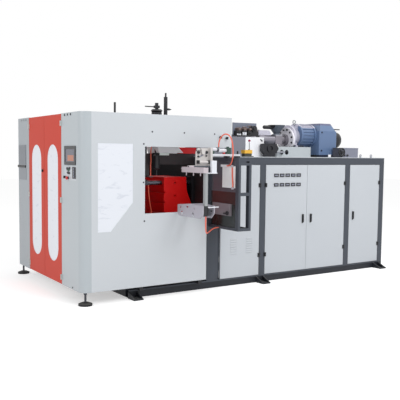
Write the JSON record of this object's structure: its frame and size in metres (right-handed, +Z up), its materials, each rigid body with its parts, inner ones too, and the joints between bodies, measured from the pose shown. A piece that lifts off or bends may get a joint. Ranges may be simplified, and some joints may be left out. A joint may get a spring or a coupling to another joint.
{
  "type": "blow moulding machine",
  "caption": "Extrusion blow moulding machine with a housed shuttle clamp, blow station, take-out arm, extruder and cabinet on one tube frame.",
  "frame": {"origin": "on the floor, under the middle of the machine's bounding box", "axes": "+X to the machine's right, from the clamp housing to the extruder motor; +Y to the back; +Z up"},
  "size_m": [4.6842, 2.742, 2.293],
  "materials": {
    "frame": "dark slate, satin",
    "sheet": "light grey, satin",
    "door_red": "orange red, satin",
    "platen_red": "red, gloss",
    "pane": "pale acrylic",
    "black": "black, satin",
    "steel": "machined",
    "chrome": "polished",
    "silver": "brushed",
    "motor_blue": "blue grey, satin",
    "yellow": "gloss",
    "red_plastic": "gloss",
    "black_plastic": "matte",
    "hose": "translucent orange",
    "tinted": "dark tinted sheet",
    "green": "gloss"
  },
  "bodies": {
    "machine": {"base_frame": "frame", "cabinet_frame": "frame", "cabinet_panels": "sheet", "door_hinges": "black", "housing_front_panel": "sheet", "housing_corner_columns": "sheet", "housing_rear_panels": "sheet", "housing_frame": "frame", "front_window": "pane", "levelling_feet": "steel", "operator_panel": "silver", "clamp_bed": "frame", "blow_bridge": "black", "blow_pin_cylinder": "silver", "die_head": "steel", "extruder_barrel": "steel", "heater_bands": "silver", "hopper": "black", "extruder_stands": "sheet", "main_motor": "motor_blue", "barrel_cover": "sheet", "feed_blower": "black", "valve_manifold": "black", "control_box": "silver", "hand_valve": "yellow", "outlet_guard_frame": "frame", "outlet_guard_panels": "tinted", "takeout_support": "silver", "air_service_unit": "black_plastic", "hose_arch": "hose", "hose_drop": "hose", "hose_gripper": "hose", "hose_blow_pin": "hose"},
    "louvre_door": {"louvre_door": "sheet"},
    "meter_door": {"meter_door": "sheet"},
    "plain_door": {"plain_door": "sheet"},
    "right_door": {"right_door": "sheet"},
    "louvre_door_handle": {"louvre_door_handle": "black_plastic"},
    "meter_door_handle": {"meter_door_handle": "black_plastic"},
    "plain_door_handle": {"plain_door_handle": "black_plastic"},
    "right_door_handle": {"right_door_handle": "black_plastic"},
    "end_door_front": {"end_door_front": "door_red", "end_door_front_window": "pane"},
    "end_door_rear": {"end_door_rear": "door_red", "end_door_rear_window": "pane"},
    "end_door_latch": {"end_door_latch": "black_plastic"},
    "start_button": {"start_button": "green"},
    "mode_switch": {"mode_switch": "black_plastic"},
    "emergency_stop": {"emergency_stop": "red_plastic"},
    "carriage": {"carriage": "black", "tie_bars": "chrome"},
    "platen_left": {"platen_left": "platen_red", "hose_platen": "hose"},
    "platen_right": {"platen_right": "platen_red"},
    "blow_pin": {"blow_pin": "steel"},
    "height_handwheel": {"height_handwheel": "black_plastic"},
    "takeout_arm": {"takeout_arm": "silver"},
    "gripper_jaw": {"gripper_jaw": "black_plastic"},
    "extruder_screw": {"extruder_screw": "steel"},
    "hand_valve_lever": {"hand_valve_lever": "red_plastic"}
  },
  "joints": [
    {"name": "louvre_door_hinge", "type": "hinge", "parent": "machine", "child": "louvre_door", "pos_m": [0.09215, -0.7395, 0.342], "axis": [0, 0, 1], "range_deg": [0, 90]},
    {"name": "louvre_door_handle_turn", "type": "hinge", "parent": "louvre_door", "child": "louvre_door_handle", "pos_m": [-0.42685, -0.7395, 0.815], "axis": [0, -1, 0], "range_deg": [0, 90]},
    {"name": "meter_door_hinge", "type": "hinge", "parent": "machine", "child": "meter_door", "pos_m": [0.18615, -0.7395, 0.342], "axis": [0, 0, -1], "range_deg": [0, 90]},
    {"name": "meter_door_handle_turn", "type": "hinge", "parent": "meter_door", "child": "meter_door_handle", "pos_m": [0.80715, -0.7395, 0.815], "axis": [0, 1, 0], "range_deg": [0, 90]},
    {"name": "plain_door_hinge", "type": "hinge", "parent": "machine", "child": "plain_door", "pos_m": [1.56815, -0.7395, 0.342], "axis": [0, 0, 1], "range_deg": [0, 110]},
    {"name": "plain_door_handle_turn", "type": "hinge", "parent": "plain_door", "child": "plain_door_handle", "pos_m": [0.94715, -0.7395, 0.815], "axis": [0, -1, 0], "range_deg": [0, 90]},
    {"name": "right_door_hinge", "type": "hinge", "parent": "machine", "child": "right_door", "pos_m": [2.25015, -0.7395, 0.342], "axis": [0, 0, 1], "range_deg": [0, 110]},
    {"name": "right_door_handle_turn", "type": "hinge", "parent": "right_door", "child": "right_door_handle", "pos_m": [1.73215, -0.7395, 0.815], "axis": [0, -1, 0], "range_deg": [0, 90]},
    {"name": "end_door_front_hinge", "type": "hinge", "parent": "machine", "child": "end_door_front", "pos_m": [-2.32135, -0.28, 0.222], "axis": [0, 0, 1], "range_deg": [0, 110]},
    {"name": "end_door_rear_hinge", "type": "hinge", "parent": "machine", "child": "end_door_rear", "pos_m": [-2.32135, 0.821, 0.222], "axis": [0, 0, -1], "range_deg": [0, 110]},
    {"name": "end_door_latch_turn", "type": "hinge", "parent": "end_door_rear", "child": "end_door_latch", "pos_m": [-2.31285, 0.3215, 1.381], "axis": [1, 0, 0], "range_deg": [0, 90]},
    {"name": "start_button_press", "type": "slide", "parent": "machine", "child": "start_button", "axis": [1, 0, 0], "range_m": [0, 0.003], "stiffness_N_per_m": 900},
    {"name": "mode_switch_turn", "type": "hinge", "parent": "machine", "child": "mode_switch", "pos_m": [-2.31285, -0.396, 1.332], "axis": [1, 0, 0], "range_deg": [-45, 45]},
    {"name": "emergency_stop_press", "type": "slide", "parent": "machine", "child": "emergency_stop", "axis": [1, 0, 0], "range_m": [0, 0.003], "stiffness_N_per_m": 1500},
    {"name": "carriage_shuttle", "type": "slide", "parent": "machine", "child": "carriage", "axis": [0, 1, 0], "range_m": [-0.325, 0.23]},
    {"name": "platen_left_close", "type": "slide", "parent": "carriage", "child": "platen_left", "axis": [1, 0, 0], "range_m": [0, 0.09]},
    {"name": "platen_right_close", "type": "slide", "parent": "carriage", "child": "platen_right", "axis": [-1, 0, 0], "range_m": [0, 0.09]},
    {"name": "blow_pin_stroke", "type": "slide", "parent": "machine", "child": "blow_pin", "axis": [0, 0, -1], "range_m": [0, 0.18]},
    {"name": "height_handwheel_turn", "type": "hinge", "parent": "machine", "child": "height_handwheel", "pos_m": [-1.25285, -0.506, 2.0663], "axis": [0, 0, 1], "continuous": true},
    {"name": "takeout_arm_slide", "type": "slide", "parent": "machine", "child": "takeout_arm", "axis": [1, 0, 0], "range_m": [0, 0.25]},
    {"name": "gripper_jaw_slide", "type": "slide", "parent": "takeout_arm", "child": "gripper_jaw", "axis": [1, 0, 0], "range_m": [0, 0.018]},
    {"name": "extruder_screw_turn", "type": "hinge", "parent": "machine", "child": "extruder_screw", "pos_m": [1.15315, 0.049, 1.806], "axis": [1, 0, 0], "continuous": true},
    {"name": "hand_valve_lever_tilt", "type": "hinge", "parent": "machine", "child": "hand_valve_lever", "pos_m": [-0.04585, -0.681, 1.65], "axis": [1, 0, 0], "range_deg": [-20, 20]}
  ],
  "couplings": [
    {"joint": "platen_right_close", "follows": "platen_left_close", "ratio": 1}
  ]
}
